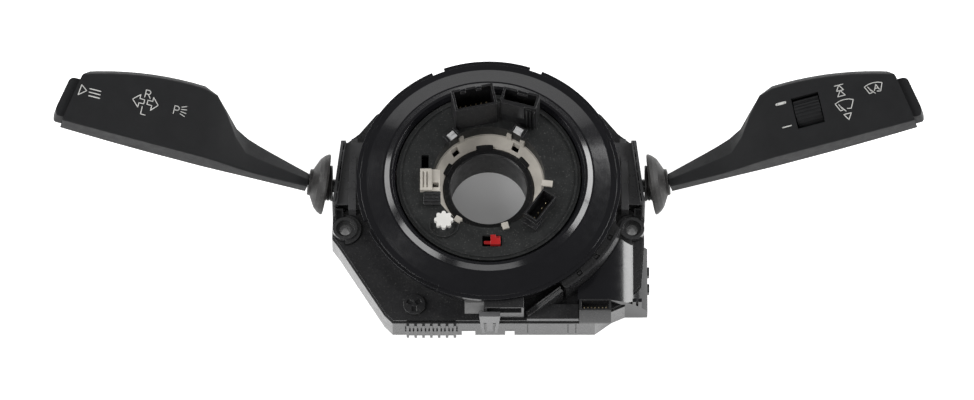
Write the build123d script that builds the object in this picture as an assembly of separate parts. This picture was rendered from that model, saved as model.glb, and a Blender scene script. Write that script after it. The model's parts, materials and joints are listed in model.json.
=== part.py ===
from build123d import *
import math
import os

# A steering-column combination switch: a clock-spring cassette in the middle,
# a turn-signal stalk on its left and a wiper stalk on its right.
# Frame: origin on the shaft axis at the rear face, +Z along the shaft towards
# the driver, +X to the wiper stalk, +Y up in the car.  Millimetres.

# ---------------------------------------------------------------- levels on Z
rear_cover_thickness = 2.4
base_bottom = 0.5
carrier_bottom = 13.5
carrier_thickness = 2.0
cup_floor_thickness = 1.5
flange_bottom = 28.2
flange_thickness = 1.8
cone_rise = 3.4
lip_rise = 1.6
rotor_top = 33.2
socket_top = 54.0
carrier_top = carrier_bottom + carrier_thickness
cup_floor_top = carrier_top + cup_floor_thickness
flange_top = flange_bottom + flange_thickness

# ------------------------------------------------------------ cassette, rotor
shaft_bore_radius = 18.5
sleeve_wall = 2.0
sleeve_top = 19.0
collar_radius = 22.2
sleeve_tabs = [(95.0, 4.0), (40.0, 3.0), (152.0, 3.0)]
code_disc_bottom = 9.6
code_disc_thickness = 1.0
code_disc_radius = 30.0
carrier_hole_radius = code_disc_radius + 1.8
cup_radius = 60.5
cup_wall = 1.8
bearing_collar_height = 5.0
drum_outer_radius = 29.1
drum_wall = 1.9
running_gap = 0.3
seat_gap = 0.3
cover_radius = cup_radius + 3.7
cover_notch_depth = 1.6
rim_start = 206.0
rim_sweep = 41.0
cone_start_radius = cover_radius - 4.9
cone_end_radius = cone_start_radius - 7.9
lip_radius = cone_end_radius - 4.2
cover_thickness = 1.8
rotor_radius = lip_radius - 2.6
rotor_thickness = 1.7
rotor_ridge_radius = rotor_radius - 2.4
well_radius = drum_outer_radius - drum_wall
hub_ring_top = 25.0
ribbon_inner_radius = 36.5
ribbon_thickness = 0.6
ribbon_half_turns = 8
ribbon_pitch = 2 * (cup_radius - cup_wall - 2.2 - ribbon_inner_radius) / (ribbon_half_turns + 1)
ribbon_width = 7.5
strap_start = -57.0
strap_sweep = 42.0
strap_outer_radius = cover_radius + 4.6

# ---------------------------------------------------------- side switches
pivot_y = 3.3
pivot_z = 13.4
case_step_x = cup_radius + 0.4
pivot_x = case_step_x + 5.3
case_inner_x = pivot_x - 18.2
case_outer_x = pivot_x + 8.2
case_roof = 1.5
case_low_roof = 0.8
case_low_y = -9.0
case_high_y = 24.5
case_face_slope = 7.0
case_wall = 1.1
case_low_top = carrier_top - seat_gap
case_top = 21.0
ladder_top = 23.6
ladder_floor = 20.4
ladder_width = 3.5
ladder_wall = 0.7
ladder_pockets = 6
rail_inner_x = pivot_x - 1.8
rail_outer_x = pivot_x + 1.8
rail_low_y = -12.3
rail_bend_y = 8.4
rail_high_y = 27.6
rail_top = 22.6
rail_drop = 3.4
rail_shift = 1.3
neck_window_height = 11.0
neck_window_width = 12.6
trunnion_radius = 2.0
trunnion_gap = 0.05
frame_half_length = 3.3
frame_half_width = 7.5
frame_rise = 5.8
frame_drop = 7.4
frame_bar = 1.2
root_gap = 0.4
cross_pin_radius = 1.5
cam_radius = 13.4
plunger_tip_radius = 13.1
plunger_radius = 1.5
plunger_drop = 28.0
cam_block_x = pivot_x - 16.4
cam_block_length = 7.0

# ------------------------------------------------------------- plan of the base
housing_wall = 2.0
front_y = -cover_radius - 5.0
side_x = pivot_x + 3.8
shoulder_radius = cover_radius + 4.3
shoulder_x = side_x - 18.5
shoulder_y = math.sqrt(shoulder_radius ** 2 - shoulder_x ** 2)
base_points = [
    (-46.5, front_y), (51.4, front_y), (59.5, front_y + 6.2), (side_x - 4.0, front_y + 9.2),
    (side_x + 4.0, -50.0), (side_x + 5.5, -27.0), (side_x + 5.5, -12.4), (side_x + 3.4, case_low_y - 0.8),
    (side_x, case_low_y - 0.8), (side_x, case_high_y + 2.5), (side_x - 7.0, case_high_y + 8.4),
    (shoulder_x + 3.5, shoulder_y - 2.2), (shoulder_x, shoulder_y),
]
left_points = [
    (-shoulder_x, shoulder_y), (-shoulder_x - 3.5, shoulder_y - 2.2), (7.0 - side_x, case_high_y + 8.4),
    (-side_x, case_high_y + 2.5), (-side_x, case_low_y - 0.8), (-side_x - 3.4, case_low_y - 0.8),
    (-side_x - 5.7, -12.4), (-side_x - 6.0, -24.0), (-side_x - 2.5, -29.0), (-50.5, front_y + 4.2),
]
carrier_inset = 0.8
front_notches = [(-13.0, -6.5), (8.0, 12.5)]
notch_height = 6.5
boss_x = pivot_x + 3.4
boss_y = -20.2
boss_radius = 6.0
boss_hole_radius = 2.75
boss_top = 18.0
boss_recess_radius = 4.4
pad_radius = 7.8
pad_top = carrier_top + 1.3
keeper_top = 18.6
keeper_wall = 0.7
deck_thickness = 1.5
post_half = 3.2
post_pin_half = 1.8
post_inset = 6.7
post_high_x = 39.0
post_high_y = math.sqrt((shoulder_radius - post_inset) ** 2 - post_high_x ** 2)
post_points = [
    (-42.0, front_y + 13.2), (42.0, front_y + 15.2), (-post_high_x, post_high_y), (post_high_x, post_high_y)]
screw_radius = 1.2
screw_head_radius = 2.8
screw_head_height = 1.3
screw_length = 8.0

# ---------------------------------------------------------- control board
board_bottom = 6.0
board_thickness = 1.6
board_hole_radius = 24.0
board_inset = 5.0

# ----------------------------------------------------------------- sockets
left_socket_angle = 102.0
left_socket_width = 20.6
left_socket_depth = 11.5
right_socket_angle = 75.0
right_socket_width = 18.0
right_socket_shift = -6.2
right_socket_depth = 8.0
socket_inner_radius = 28.0
socket_wall = 1.2
socket_floor = 36.0
lower_socket_angle = -35.5
lower_socket_width = 16.4
lower_socket_depth = 7.8
lower_socket_radius = 26.7
lower_socket_wall = 0.8
lower_socket_floor = 30.2
lower_socket_top = 39.2
pin_half = 0.4
pin_height = 6.0
pin_pitch = 2.6
lock_angle = 229.6
lock_distance = 33.5
lock_radius = 4.6
lock_height = 4.0
lock_travel = 3.0
lock_stem_radius = 2.0
lock_lobes = 8
lock_lobe_radius = 1.05
lock_fence_radius = 7.2
red_pin_angle = 270.5
red_pin_distance = 34.6
ring_hooks = [(-123.0, 1.7), (-73.0, 2.1), (-7.5, 4.0)]

# ------------------------------------------------------------ front fittings
comb_low_x = -39.8
comb_pitch = 3.8
comb_fins = 7
fin_thickness = 1.3
fin_depth = 1.8
fin_bottom = 0.9
fin_top = 14.4
dome_low_x = 43.0
dome_high_x = side_x + 7.0
dome_front_y = front_y + 9.2
dome_back_y = boss_y - 6.5
dome_top = 21.5
dome_bottom = 0.6
dome_wall = 1.4
latch_low_x = -2.0
latch_high_x = 17.0
latch_front_y = front_y + 1.8
latch_top = flange_bottom - 0.3
latch_wall = 1.2
latch_pocket_low = 22.0
clip_x = 0.5
clip_half_low = 3.7
clip_half_high = 5.1
clip_leg = 1.5
clip_sheet = 0.8
clip_bottom = 4.4
clip_top = 23.4
clip_window_top = 16.0
ramp_low = (18.5, front_y + 2.7)
ramp_angle = strap_start - 1.4
ramp_rise = 3.0
ramp_width = 2.9
ramp_lip = 0.8
harness_low_x = 43.8
harness_high_x = 59.2
harness_front_y = front_y + 3.0
harness_back_y = front_y + 9.0
harness_top = 22.4
harness_wall = 1.1
plug_x = -36.0
plug_y = front_y + 8.9
plug_radius = 5.4
plug_height = 1.4

# ------------------------------------------------------------------ stalks
stalk_azimuth = 11.5
stalk_elevation = 10.5
neck_azimuth = 6.3
neck_elevation = 7.5
neck_radius = 3.2
neck_end = 21.4
collar_start = 13.2
collar_large_radius = 8.6
boot_rim_radius = 14.8
boot_rim_start = 13.0
boot_end_radius = 6.3
boot_wall = 1.2
arm_start = 22.0
arm_end = 50.0
paddle_start = 76.0
station_step = 6.6
stalk_end = 145.4
arm_root_width = 9.0
arm_end_width = 17.4
paddle_width = 39.0
paddle_crown = 0.0032
low_edge = -7.0
arm_front = 3.5
arm_back = -5.4
paddle_front = 7.4
paddle_back = -6.4
shell_wall = 1.8
shell_split = -2.6
button_depth = 12.0
button_proud = 4.2
button_travel = 1.5
button_low = -4.6
button_margin = 3.6
button_front = 4.6
button_back = -3.8
button_gap = 0.25
board_low = -3.0
board_margin = 4.0
board_clearance = 1.2
wheel_s = 96.0
wheel_w = 13.2
wheel_n = -0.6
wheel_radius = 8.4
wheel_length = 12.6
window_length = 13.6
window_height = 16.6
window_w = 12.0
ear_thickness = 1.4
wheel_rib_count = 9
wheel_sector = 124.0
wheel_shaft_radius = 1.3


def block(x0, x1, y0, y1, z0, z1):
    """A box between two corners."""
    centre = Pos((x0 + x1) / 2, (y0 + y1) / 2, (z0 + z1) / 2)
    return centre * Box(x1 - x0, y1 - y0, z1 - z0)


def disc(radius, z0, z1, x=0.0, y=0.0):
    """An upright cylinder."""
    return Pos(x, y, (z0 + z1) / 2) * Cylinder(radius, z1 - z0)


def square_post(x, y, half, z0, z1):
    """An upright square bar about a point."""
    return block(x - half, x + half, y - half, y + half, z0, z1)


def tube(outer, inner, z0, z1, x=0.0, y=0.0):
    """An upright ring."""
    return disc(outer, z0, z1, x, y) - disc(inner, z0 - 1, z1 + 1, x, y)


def prism(face, z0, z1):
    """A plan face raised from z0 to z1."""
    return Pos(0, 0, z0) * extrude(face, z1 - z0)


def rounded_face(points, radii):
    """A closed plan outline with rounded corners."""
    return make_face(FilletPolyline(*points, radius=radii, close=True))


def turned(points):
    """A ring from a closed (radius, z) outline."""
    outline = [(radius, 0.0, z) for radius, z in points]
    return revolve(make_face(Polyline(*outline, close=True)), Axis.Z, 360)


def sector(outer, inner, z0, z1, start, sweep):
    """Part of an upright ring, between two angles."""
    corners = [(0.0, 0.0)]
    for step in range(5):
        angle = math.radians(start + sweep * step / 4)
        corners.append((1.5 * outer * math.cos(angle), 1.5 * outer * math.sin(angle)))
    wedge = prism(make_face(Polyline(*corners, close=True)), z0 - 1, z1 + 1)
    return tube(outer, inner, z0, z1) & wedge


def radial(shape, angle):
    """Turn a piece made along +X to an angle about the shaft."""
    return Rot(0, 0, angle) * shape


def mirrored(shape):
    """The left-hand twin of a right-hand piece."""
    return mirror(shape, about=Plane.YZ)


# ------------------------------------------------------------------- base
def base_outline():
    """The plan of the base, with its round shoulder at the top."""
    lower = Polyline(*left_points, *base_points)
    arc = ThreePointArc(base_points[-1], (0.0, shoulder_radius), left_points[0])
    return make_face(lower + arc)


def base_face(inset):
    """The base's plan, drawn in by a distance."""
    face = base_outline()
    if inset > 0:
        face = offset(face, amount=-inset, kind=Kind.INTERSECTION)
    return face


def case_face(gap):
    """The plan of a side switch's case, grown by a gap."""
    slope = math.tan(math.radians(case_face_slope))
    low_x = case_outer_x + gap + (pivot_y - case_low_y + gap) * slope
    high_x = case_outer_x + gap - (case_high_y + gap - pivot_y) * slope
    points = [
        (case_inner_x - gap, case_low_y - gap), (low_x, case_low_y - gap),
        (high_x, case_high_y + gap), (case_inner_x - gap, case_high_y + gap),
    ]
    return make_face(Polyline(*points, close=True))


def case_clearance(z0, z1):
    """Room for both side switches in the base and the carrier."""
    right = prism(case_face(seat_gap), z0, z1)
    return right + mirrored(right)


def boss_form(gap, z0, z1, z2):
    """The right column boss up to z1, with its half-round pad up to z2, grown by a gap."""
    pad = disc(pad_radius + gap, z0, z2, boss_x, boss_y) & block(0, boss_x + gap, -90, 0, z0 - 1, z2 + 1)
    return disc(boss_radius + gap, z0, z1, boss_x, boss_y) + pad


def boss_clearance(z0, z1):
    """Room round both column bosses."""
    room = boss_form(seat_gap, z0, z1, z1)
    return room + mirrored(room)


def make_base_housing():
    """The open tray that everything is fastened to."""
    tray = prism(base_face(0), base_bottom, carrier_bottom)
    deck_bottom = carrier_bottom - deck_thickness
    tray -= prism(base_face(housing_wall), base_bottom - 1, deck_bottom)
    tray -= disc(carrier_hole_radius, base_bottom, carrier_bottom + 1)
    tray -= case_clearance(base_bottom - 1, carrier_bottom + 1)
    board_top = board_bottom + board_thickness
    for x, y in post_points:
        tray += square_post(x, y, post_half, board_top, deck_bottom)
        tray += square_post(x, y, post_pin_half, rear_cover_thickness, board_top)
        tray -= disc(screw_radius + 0.1, rear_cover_thickness - 1, deck_bottom, x, y)
    for low, high in front_notches:
        tray -= block(low, high, front_y - 1, front_y + housing_wall + 1, base_bottom - 1, notch_height)
    bosses = boss_form(0, base_bottom, boss_top, pad_top)
    bosses -= disc(boss_hole_radius, -1, boss_top + 1, boss_x, boss_y)
    bosses -= disc(boss_recess_radius, boss_top - 2.2, boss_top + 1, boss_x, boss_y)
    hole = disc(boss_hole_radius, -1, boss_top + 1, boss_x, boss_y)
    tray -= hole + mirrored(hole)
    return tray + bosses + mirrored(bosses)


def make_carrier_plate():
    """The flat deck over the tray that carries the cassette."""
    plate = prism(base_face(carrier_inset), carrier_bottom, carrier_top)
    plate -= disc(carrier_hole_radius, carrier_bottom - 1, carrier_top + 1)
    low_y = case_low_y - seat_gap
    keeper = block(side_x + 0.6, side_x + 4.6, low_y - 6.4, low_y - 0.6, carrier_bottom, keeper_top)
    keeper -= block(
        side_x + 0.6 + keeper_wall, side_x + 4.6 - keeper_wall, low_y - 7.4, low_y - 0.6 - keeper_wall,
        carrier_top + 0.4, keeper_top + 1)
    plate += keeper + mirrored(keeper)
    plate -= case_clearance(carrier_bottom - 1, carrier_top + 1)
    return plate - boss_clearance(carrier_bottom - 1, keeper_top + 1)


def make_rear_cover():
    """The back plate, set inside the tray's wall."""
    plate = prism(base_face(housing_wall + seat_gap), 0, rear_cover_thickness)
    plate -= case_clearance(-1, rear_cover_thickness + 1)
    plate -= disc(shaft_bore_radius + sleeve_wall + 1.2, -1, rear_cover_thickness + 1)
    plate -= boss_clearance(-1, rear_cover_thickness + 1)
    corner = block(boss_x, boss_x + 20, boss_y, case_low_y, -1, rear_cover_thickness + 1)
    plate -= corner + mirrored(corner)
    for x, y in post_points:
        plate -= disc(screw_head_radius + 0.2, -1, screw_head_height, x, y)
        plate -= disc(screw_radius + 0.1, -1, rear_cover_thickness + 1, x, y)
    return plate


def make_cover_screws():
    """Four hexagon-head screws from the back into the posts."""
    screws = []
    for x, y in post_points:
        head = Pos(x, y, 0) * prism(RegularPolygon(screw_head_radius, 6), 0.1, screw_head_height)
        shank = disc(screw_radius, screw_head_height, screw_head_height + screw_length, x, y)
        screws.append(head + shank)
    return Compound(children=screws)


def make_control_board():
    """The circuit board on the tray's posts."""
    top = board_bottom + board_thickness
    plate = prism(base_face(board_inset), board_bottom, top)
    plate -= disc(board_hole_radius, board_bottom - 1, top + 1)
    plate -= case_clearance(board_bottom - 1, top + 1)
    plate -= boss_clearance(board_bottom - 1, top + 1)
    for x, y in post_points:
        plate -= square_post(x, y, post_pin_half + 0.2, board_bottom - 1, top + 1)
    return plate


def make_board_components():
    """Chips and capacitors on the board."""
    top = board_bottom + board_thickness
    parts = [block(-8, 8, -52, -38, top, top + 1.6)]
    parts.append(block(22, 30, -44, -36, top, top + 1.4))
    parts.append(block(-32, -22, -42, -34, top, top + 1.4))
    parts.append(block(-4, 4, 24.5, 28.5, top, top + 1.4))
    for x in (-20, -12, 14):
        parts.append(block(x - 2.8, x + 2.8, front_y + 6.8, front_y + 11.6, top, top + 3.4))
    for x in (-18, -6, 6, 18):
        parts.append(block(x - 2, x + 2, 44, 47, top, top + 1.2))
    return Compound(children=parts)


# -------------------------------------------------------------- cassette
def make_cassette_cup():
    """The round tray of the clock spring, with its bearing collar."""
    cup = tube(cup_radius, cup_radius - cup_wall, carrier_top, flange_bottom)
    cup += tube(cup_radius, drum_outer_radius + running_gap, carrier_top, cup_floor_top)
    collar = drum_outer_radius + running_gap
    cup += tube(collar + 1.6, collar, carrier_top, carrier_top + bearing_collar_height)
    return cup


def make_cassette_cover():
    """The glossy cover: flange, cone and rolled inner lip."""
    cone_top = flange_top + 0.4 + cone_rise
    lip_top = cone_top + lip_rise
    inner = rotor_radius + running_gap + 0.4
    outline = [
        (cover_radius, flange_bottom), (cover_radius, flange_top),
        (cone_start_radius + 3.0, flange_top), (cone_start_radius + 3.0, flange_top + 0.4),
        (cone_start_radius, flange_top + 0.4), (cone_end_radius, cone_top),
        (cone_end_radius - 0.8, cone_top), (lip_radius + 0.9, lip_top),
        (lip_radius - 0.4, lip_top - 0.2), (inner, lip_top - 2.4),
        (inner, lip_top - 3.6), (lip_radius - 0.6, lip_top - cover_thickness - 0.4),
        (lip_radius + 0.6, lip_top - cover_thickness), (cone_end_radius, cone_top - cover_thickness),
        (cone_start_radius - 0.6, flange_bottom),
    ]
    cover = turned(outline)
    skirt = cup_radius + 0.2
    for start in (20, 80, 140, 200, 238, 320):
        cover += sector(skirt + 1.2, skirt, flange_bottom - 6, flange_bottom, start, 16)
    notch = cover_radius - cover_notch_depth
    for start in (66, 110, 200):
        cover -= sector(cover_radius + 1, notch, flange_bottom - 1, flange_top + 1, start, 5.5)
    for inset in (0.0, 1.9):
        edge = cover_radius - inset
        cover += sector(edge, edge - 0.6, flange_top, flange_top + 0.6, rim_start, rim_sweep)
    for polar in (92, 107, 118, 240, 250, 268):
        nub = block(notch - 1.4, notch + 0.2, -0.9, 0.9, flange_top, flange_top + 0.8)
        cover += radial(nub, 270 - polar)
    return cover


def make_ribbon_coil():
    """The flat cable's turns, half a turn at a time."""
    bottom = cup_floor_top
    top = bottom + ribbon_width
    coil = None
    for half in range(ribbon_half_turns):
        radius = ribbon_inner_radius + ribbon_pitch * half / 2
        shift = 0.0 if half % 2 == 0 else ribbon_pitch / 2
        ring = tube(radius + ribbon_thickness, radius, bottom, top, shift, 0)
        low, high = (0, 90) if half % 2 == 0 else (-90, 0)
        turn = ring & block(-90, 90, low, high, bottom - 1, top + 1)
        coil = turn if coil is None else coil + turn
    return coil


def make_edge_strap():
    """The curved, windowed strap that clips the cassette at the lower right."""
    strap_top = flange_bottom - seat_gap
    outer = strap_outer_radius
    inner = cup_radius + 2.4
    strap = sector(outer, inner, strap_top - 1.6, strap_top, strap_start, strap_sweep)
    strap += sector(outer, outer - 1.2, carrier_top, strap_top + 1.4, strap_start, strap_sweep)
    for angle in (-48.0, -37.5, -27.0, -18.0):
        window = block(outer - 4.2, outer - 1.8, -1.4, 1.4, strap_top - 0.9, strap_top + 2)
        window -= block(outer - 3.6, outer - 2.4, -0.8, 0.8, strap_top - 2, strap_top)
        strap -= radial(window, angle)
    return strap - boss_clearance(carrier_top - 1, flange_top + 1)


# --------------------------------------------------------- front fittings
def make_contact_comb():
    """The row of upright fins on the front wall."""
    last = comb_low_x + comb_pitch * (comb_fins - 1) + fin_thickness
    comb = block(comb_low_x, last, front_y - 0.5, front_y, fin_bottom, fin_top)
    for fin in range(comb_fins):
        x = comb_low_x + comb_pitch * fin
        comb += block(x, x + fin_thickness, front_y - fin_depth, front_y - 0.4, fin_bottom, fin_top)
        comb += block(
            x - 0.7, x + fin_thickness + 0.7, front_y - fin_depth + 0.4, front_y - 0.4, fin_bottom + 5.0,
            fin_bottom + 6.6)
    return comb


def dome_form(wall):
    """The dome's outside, or its inside at a wall's depth."""
    top = dome_top - wall
    high = dome_high_x - wall
    bottom = dome_bottom if wall == 0 else dome_bottom - 1
    middle = (dome_low_x + 24, 0, top - 4.0)
    curve = ThreePointArc((dome_low_x + 6, 0, top), middle, (high, 0, top - 13.5))
    lines = Polyline(
        (high, 0, top - 13.5), (high, 0, bottom), (dome_low_x + wall, 0, bottom),
        (dome_low_x + wall, 0, top), (dome_low_x + 6, 0, top))
    length = dome_back_y - dome_front_y - 2 * wall
    form = extrude(make_face(curve + lines), length, dir=(0, 1, 0))
    return Pos(0, dome_front_y + wall, 0) * form


def make_sensor_dome():
    """The glossy rounded cover over the lower right corner."""
    clear = strap_outer_radius + seat_gap
    dome = dome_form(0) - disc(clear, -5, 40)
    dome -= dome_form(dome_wall) - disc(clear + dome_wall, -6, 41)
    dome -= prism(base_face(-0.1), -1, carrier_top)
    dome -= boss_clearance(-1, 40)
    for y in (-50.0, -41.0):
        dome += block(dome_high_x - 0.3, dome_high_x + 0.9, y, y + 4.5, 5.0, 8.0)
    for x in (side_x - 0.4, side_x + 2.4):
        dome += block(x, x + 1.7, dome_front_y - 0.5, dome_front_y + dome_wall, 11.0, 19.5)
    return dome


def make_front_block():
    """The low block beside the latch, with the channelled ramp that rises to the strap."""
    angle = math.radians(ramp_angle)
    high = ((strap_outer_radius - 1.6) * math.cos(angle), (strap_outer_radius - 1.6) * math.sin(angle))
    run = (high[0] - ramp_low[0], high[1] - ramp_low[1])
    length = math.hypot(*run)
    climb = latch_top - carrier_top - ramp_rise
    low_x = ramp_low[0]
    corner_x = low_x + 0.76 * run[0]
    corner_y = ramp_low[1] + 0.76 * run[1] - ramp_width / 2
    points = [
        (low_x, front_y + 0.4), (harness_low_x - seat_gap, front_y + 0.4),
        (harness_low_x - seat_gap, corner_y),
        (corner_x, corner_y), (low_x, ramp_low[1] - ramp_width / 2),
    ]
    body = prism(make_face(Polyline(*points, close=True)), carrier_top, carrier_top + 2.6)
    slope = [(0, 0), (length, 0), (length, ramp_rise + climb), (0, ramp_rise)]
    side = make_face(Polyline(*[(u, 0, z) for u, z in slope], close=True))
    ramp = Pos(0, ramp_width / 2, 0) * extrude(side, ramp_width, dir=(0, -1, 0))
    half = ramp_width / 2 - ramp_lip
    ramp -= block(-1, length + 1, -half, half, 0, 40) - Pos(0, 0, -ramp_lip) * ramp
    place = Plane(origin=(*ramp_low, carrier_top), x_dir=(*run, 0), z_dir=(0, 0, 1))
    return body + place.location * ramp


def make_harness_connector():
    """The upward socket for the vehicle's harness."""
    profile = [
        (front_y + 0.2, carrier_top), (front_y - 0.5, carrier_top - 1.0), (front_y - 0.5, carrier_top + 0.8),
        (harness_front_y, harness_top), (harness_back_y, harness_top), (harness_back_y, carrier_top),
    ]
    face = make_face(Polyline(*[(harness_low_x, y, z) for y, z in profile], close=True))
    body = extrude(face, harness_high_x - harness_low_x, dir=(1, 0, 0))
    body -= block(
        harness_low_x + harness_wall, harness_high_x - harness_wall,
        harness_front_y + 0.9, harness_back_y - 0.8,
        carrier_top + 1.2, harness_top + 1)
    return body - prism(base_face(0), 0, carrier_top)


def make_harness_pins():
    """The contacts in the harness socket."""
    pins = []
    for column in range(7):
        x = harness_low_x + 2.3 + 1.8 * column
        y = (harness_front_y + harness_back_y) / 2
        pins.append(square_post(x, y, pin_half, carrier_top + 1.2, harness_top - 3.4))
    return Compound(children=pins)


def make_latch_box():
    """The box under the flange whose pocket faces the front."""
    back = -cup_radius - seat_gap
    box = block(latch_low_x, latch_high_x, latch_front_y, back, carrier_top, latch_top)
    box -= disc(cup_radius + seat_gap, carrier_top - 1, latch_top + 1)
    low_x = latch_low_x + latch_wall
    high_x = latch_high_x - latch_wall
    box -= block(low_x, high_x, latch_front_y - 1, back - 1.0, latch_pocket_low, latch_top - 0.8)
    return box


def make_latch_bracket():
    """The pale sloping tab beside the latch box."""
    top = latch_top - 1.3
    outer = latch_front_y + 0.6
    profile = [
        (outer + 2.6, top), (outer, top - 6.4), (outer, top - 7.0), (outer + 1.8, top - 7.4),
        (outer + 1.8, carrier_top), (outer + 5.0, carrier_top), (outer + 5.0, top),
    ]
    face = make_face(Polyline(*[(latch_low_x - 9.6, y, z) for y, z in profile], close=True))
    tab = extrude(face, 9.5, dir=(1, 0, 0))
    return tab - disc(cup_radius + seat_gap, carrier_top - 1, 40)


def make_latch_clip():
    """The tapered steel clip that stands on the front wall, with its inner tongue."""
    front = front_y - 0.1
    outline = [
        (-clip_half_low, clip_bottom), (clip_half_low, clip_bottom),
        (clip_half_high, clip_top), (-clip_half_high, clip_top)]
    window = [
        (clip_leg - clip_half_low, clip_bottom - 1), (clip_half_low - clip_leg, clip_bottom - 1),
        (clip_half_high - clip_leg - 0.6, clip_window_top),
        (clip_leg + 0.6 - clip_half_high, clip_window_top),
    ]
    sheet = make_face(Polyline(*[(x, 0, z) for x, z in outline], close=True))
    opening = make_face(Polyline(*[(x, 0, z) for x, z in window], close=True))
    clip = extrude(sheet, clip_sheet, dir=(0, -1, 0))
    clip -= Pos(0, 1, 0) * extrude(opening, 4, dir=(0, -1, 0))
    clip += block(-1.6, 1.6, -0.3, 0, clip_bottom + 0.8, clip_window_top + 1)
    reach = latch_front_y - front_y
    clip += block(-clip_half_high, clip_half_high, -clip_sheet, reach, clip_top - clip_sheet, clip_top)
    return Pos(clip_x, front, 0) * clip


def make_round_plug():
    """The round plug with a cross recess in the deck's corner."""
    plug = disc(plug_radius, carrier_top, carrier_top + plug_height, plug_x, plug_y)
    for turn in (30, 150, 270):
        lobe = Rot(0, 0, turn) * (Pos(2.4, 0) * Rectangle(2.8, 2.2))
        plug -= Pos(plug_x, plug_y, 0) * prism(lobe, carrier_top + 0.5, carrier_top + plug_height + 1)
    return plug


# ----------------------------------------------------------------- rotor
def lower_socket_block(gap):
    """The outside of the low socket and its front step, grown by a gap."""
    half = lower_socket_width / 2 + gap
    near = lower_socket_radius - gap
    far = lower_socket_radius + lower_socket_depth + gap
    bottom = lower_socket_floor - 1.0
    body = block(near, far, -half, half, bottom, lower_socket_top)
    body += block(near + 1.0, far + 1.2, -half - 2.8, 4.0 - half, bottom, rotor_top + 2.4)
    return radial(body, lower_socket_angle)


def lock_place():
    """Where the lock button stands on the rotor."""
    angle = math.radians(lock_angle)
    return lock_distance * math.cos(angle), lock_distance * math.sin(angle)


def make_rotor_disc():
    """The turning face plate with its drum."""
    bottom = rotor_top - rotor_thickness
    plate = tube(rotor_radius, well_radius, bottom, rotor_top)
    plate += tube(rotor_ridge_radius + 0.9, rotor_ridge_radius, rotor_top, rotor_top + 0.6)
    plate += tube(drum_outer_radius, well_radius, cup_floor_top + running_gap, rotor_top)
    lock_x, lock_y = lock_place()
    guide = disc(lock_stem_radius + 1.4, rotor_top - 6.5, bottom, lock_x, lock_y)
    guide -= plate
    plate += guide
    plate -= disc(lock_stem_radius + 0.1, rotor_top - 12, rotor_top + 2, lock_x, lock_y)
    fence = tube(lock_fence_radius, lock_fence_radius - 0.7, rotor_top, rotor_top + 1.0, lock_x, lock_y)
    fence &= block(lock_x - 9, lock_x + 9, lock_y - 9, lock_y + 1.5, rotor_top - 1, rotor_top + 2)
    plate += fence - disc(well_radius + ring_hooks[0][1] + 0.4, rotor_top - 1, rotor_top + 2)
    plate -= block(-drum_outer_radius - 3.5, -drum_outer_radius, 4.9, 11.9, bottom - 1, rotor_top + 1)
    plate -= lower_socket_block(0)
    pocket = block(red_pin_distance - 3.2, red_pin_distance + 2.6, -3.4, 6.0, bottom - 1, rotor_top + 1)
    plate -= radial(pocket, red_pin_angle)
    return plate


def sleeve_tab(half, gap):
    """One of the sleeve's tabs, along +X, grown by a gap."""
    return block(
        collar_radius - 0.9, collar_radius + 2.3 + gap, -half - gap, half + gap, sleeve_top - 1.2 - gap,
        sleeve_top + 1.4 + gap)


def make_hub_ring():
    """The white funnel between the rotor's drum and the shaft sleeve."""
    inner = collar_radius + 0.1
    ring = turned([
        (well_radius, hub_ring_top), (well_radius, hub_ring_top - 5.0),
        (well_radius - 1.4, hub_ring_top - 5.0), (well_radius - 1.4, hub_ring_top - 2.6),
        (inner, sleeve_top - 1.6), (inner, sleeve_top + 0.2), (inner + 0.5, sleeve_top + 0.4),
        (well_radius - 0.8, hub_ring_top),
    ])
    for angle in (52, 68, 120):
        horn = block(well_radius - 1.1, well_radius - 0.1, -1.2, 1.2, hub_ring_top - 1, hub_ring_top + 5)
        ring += radial(horn, angle)
    for angle, overhang in ring_hooks:
        stem = block(well_radius - 1.3, well_radius - 0.1, -1.6, 1.6, hub_ring_top - 1, rotor_top)
        hook = block(well_radius - 1.3, well_radius + overhang, -1.6, 1.6, rotor_top, rotor_top + 1.0)
        ring += radial(stem + hook, angle)
    for angle in (131, 58):
        slot = block(well_radius - 3.6, well_radius - 1.2, -1.9, 1.9, sleeve_top - 3, hub_ring_top + 2)
        ring -= radial(slot, angle)
    for angle, half in sleeve_tabs:
        ring -= radial(sleeve_tab(half, 0.15), angle)
    return ring


def make_hub_sleeve():
    """The sleeve that the steering shaft passes through, with its three tabs."""
    outer = shaft_bore_radius + sleeve_wall
    sleeve = turned([
        (shaft_bore_radius, 0), (outer, 0), (outer, sleeve_top - 3.4),
        (collar_radius, sleeve_top - 1.6), (collar_radius, sleeve_top),
        (collar_radius - 0.8, sleeve_top + 0.6), (shaft_bore_radius + 0.6, sleeve_top + 0.6),
        (shaft_bore_radius, sleeve_top),
    ])
    for angle, half in sleeve_tabs:
        sleeve += radial(sleeve_tab(half, 0), angle)
    return sleeve


def make_code_disc():
    """The toothed disc that the angle sensor reads."""
    inner = shaft_bore_radius + sleeve_wall
    top = code_disc_bottom + code_disc_thickness
    ring = tube(code_disc_radius, inner, code_disc_bottom, top)
    count = 18
    for tooth in range(count):
        gap = block(code_disc_radius - 2.2, code_disc_radius + 1, -1.6, 1.6, code_disc_bottom - 1, top + 1)
        ring -= radial(gap, tooth * 360 / count)
    return ring


def socket_shell(width, depth, inner, floor, top, wall):
    """An open-topped socket standing along +X from a radius."""
    shell = block(inner, inner + depth, -width / 2, width / 2, floor - wall, top)
    room = block(inner + wall, inner + depth - wall, -width / 2 + wall, width / 2 - wall, floor, top + 1)
    return shell - room


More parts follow.
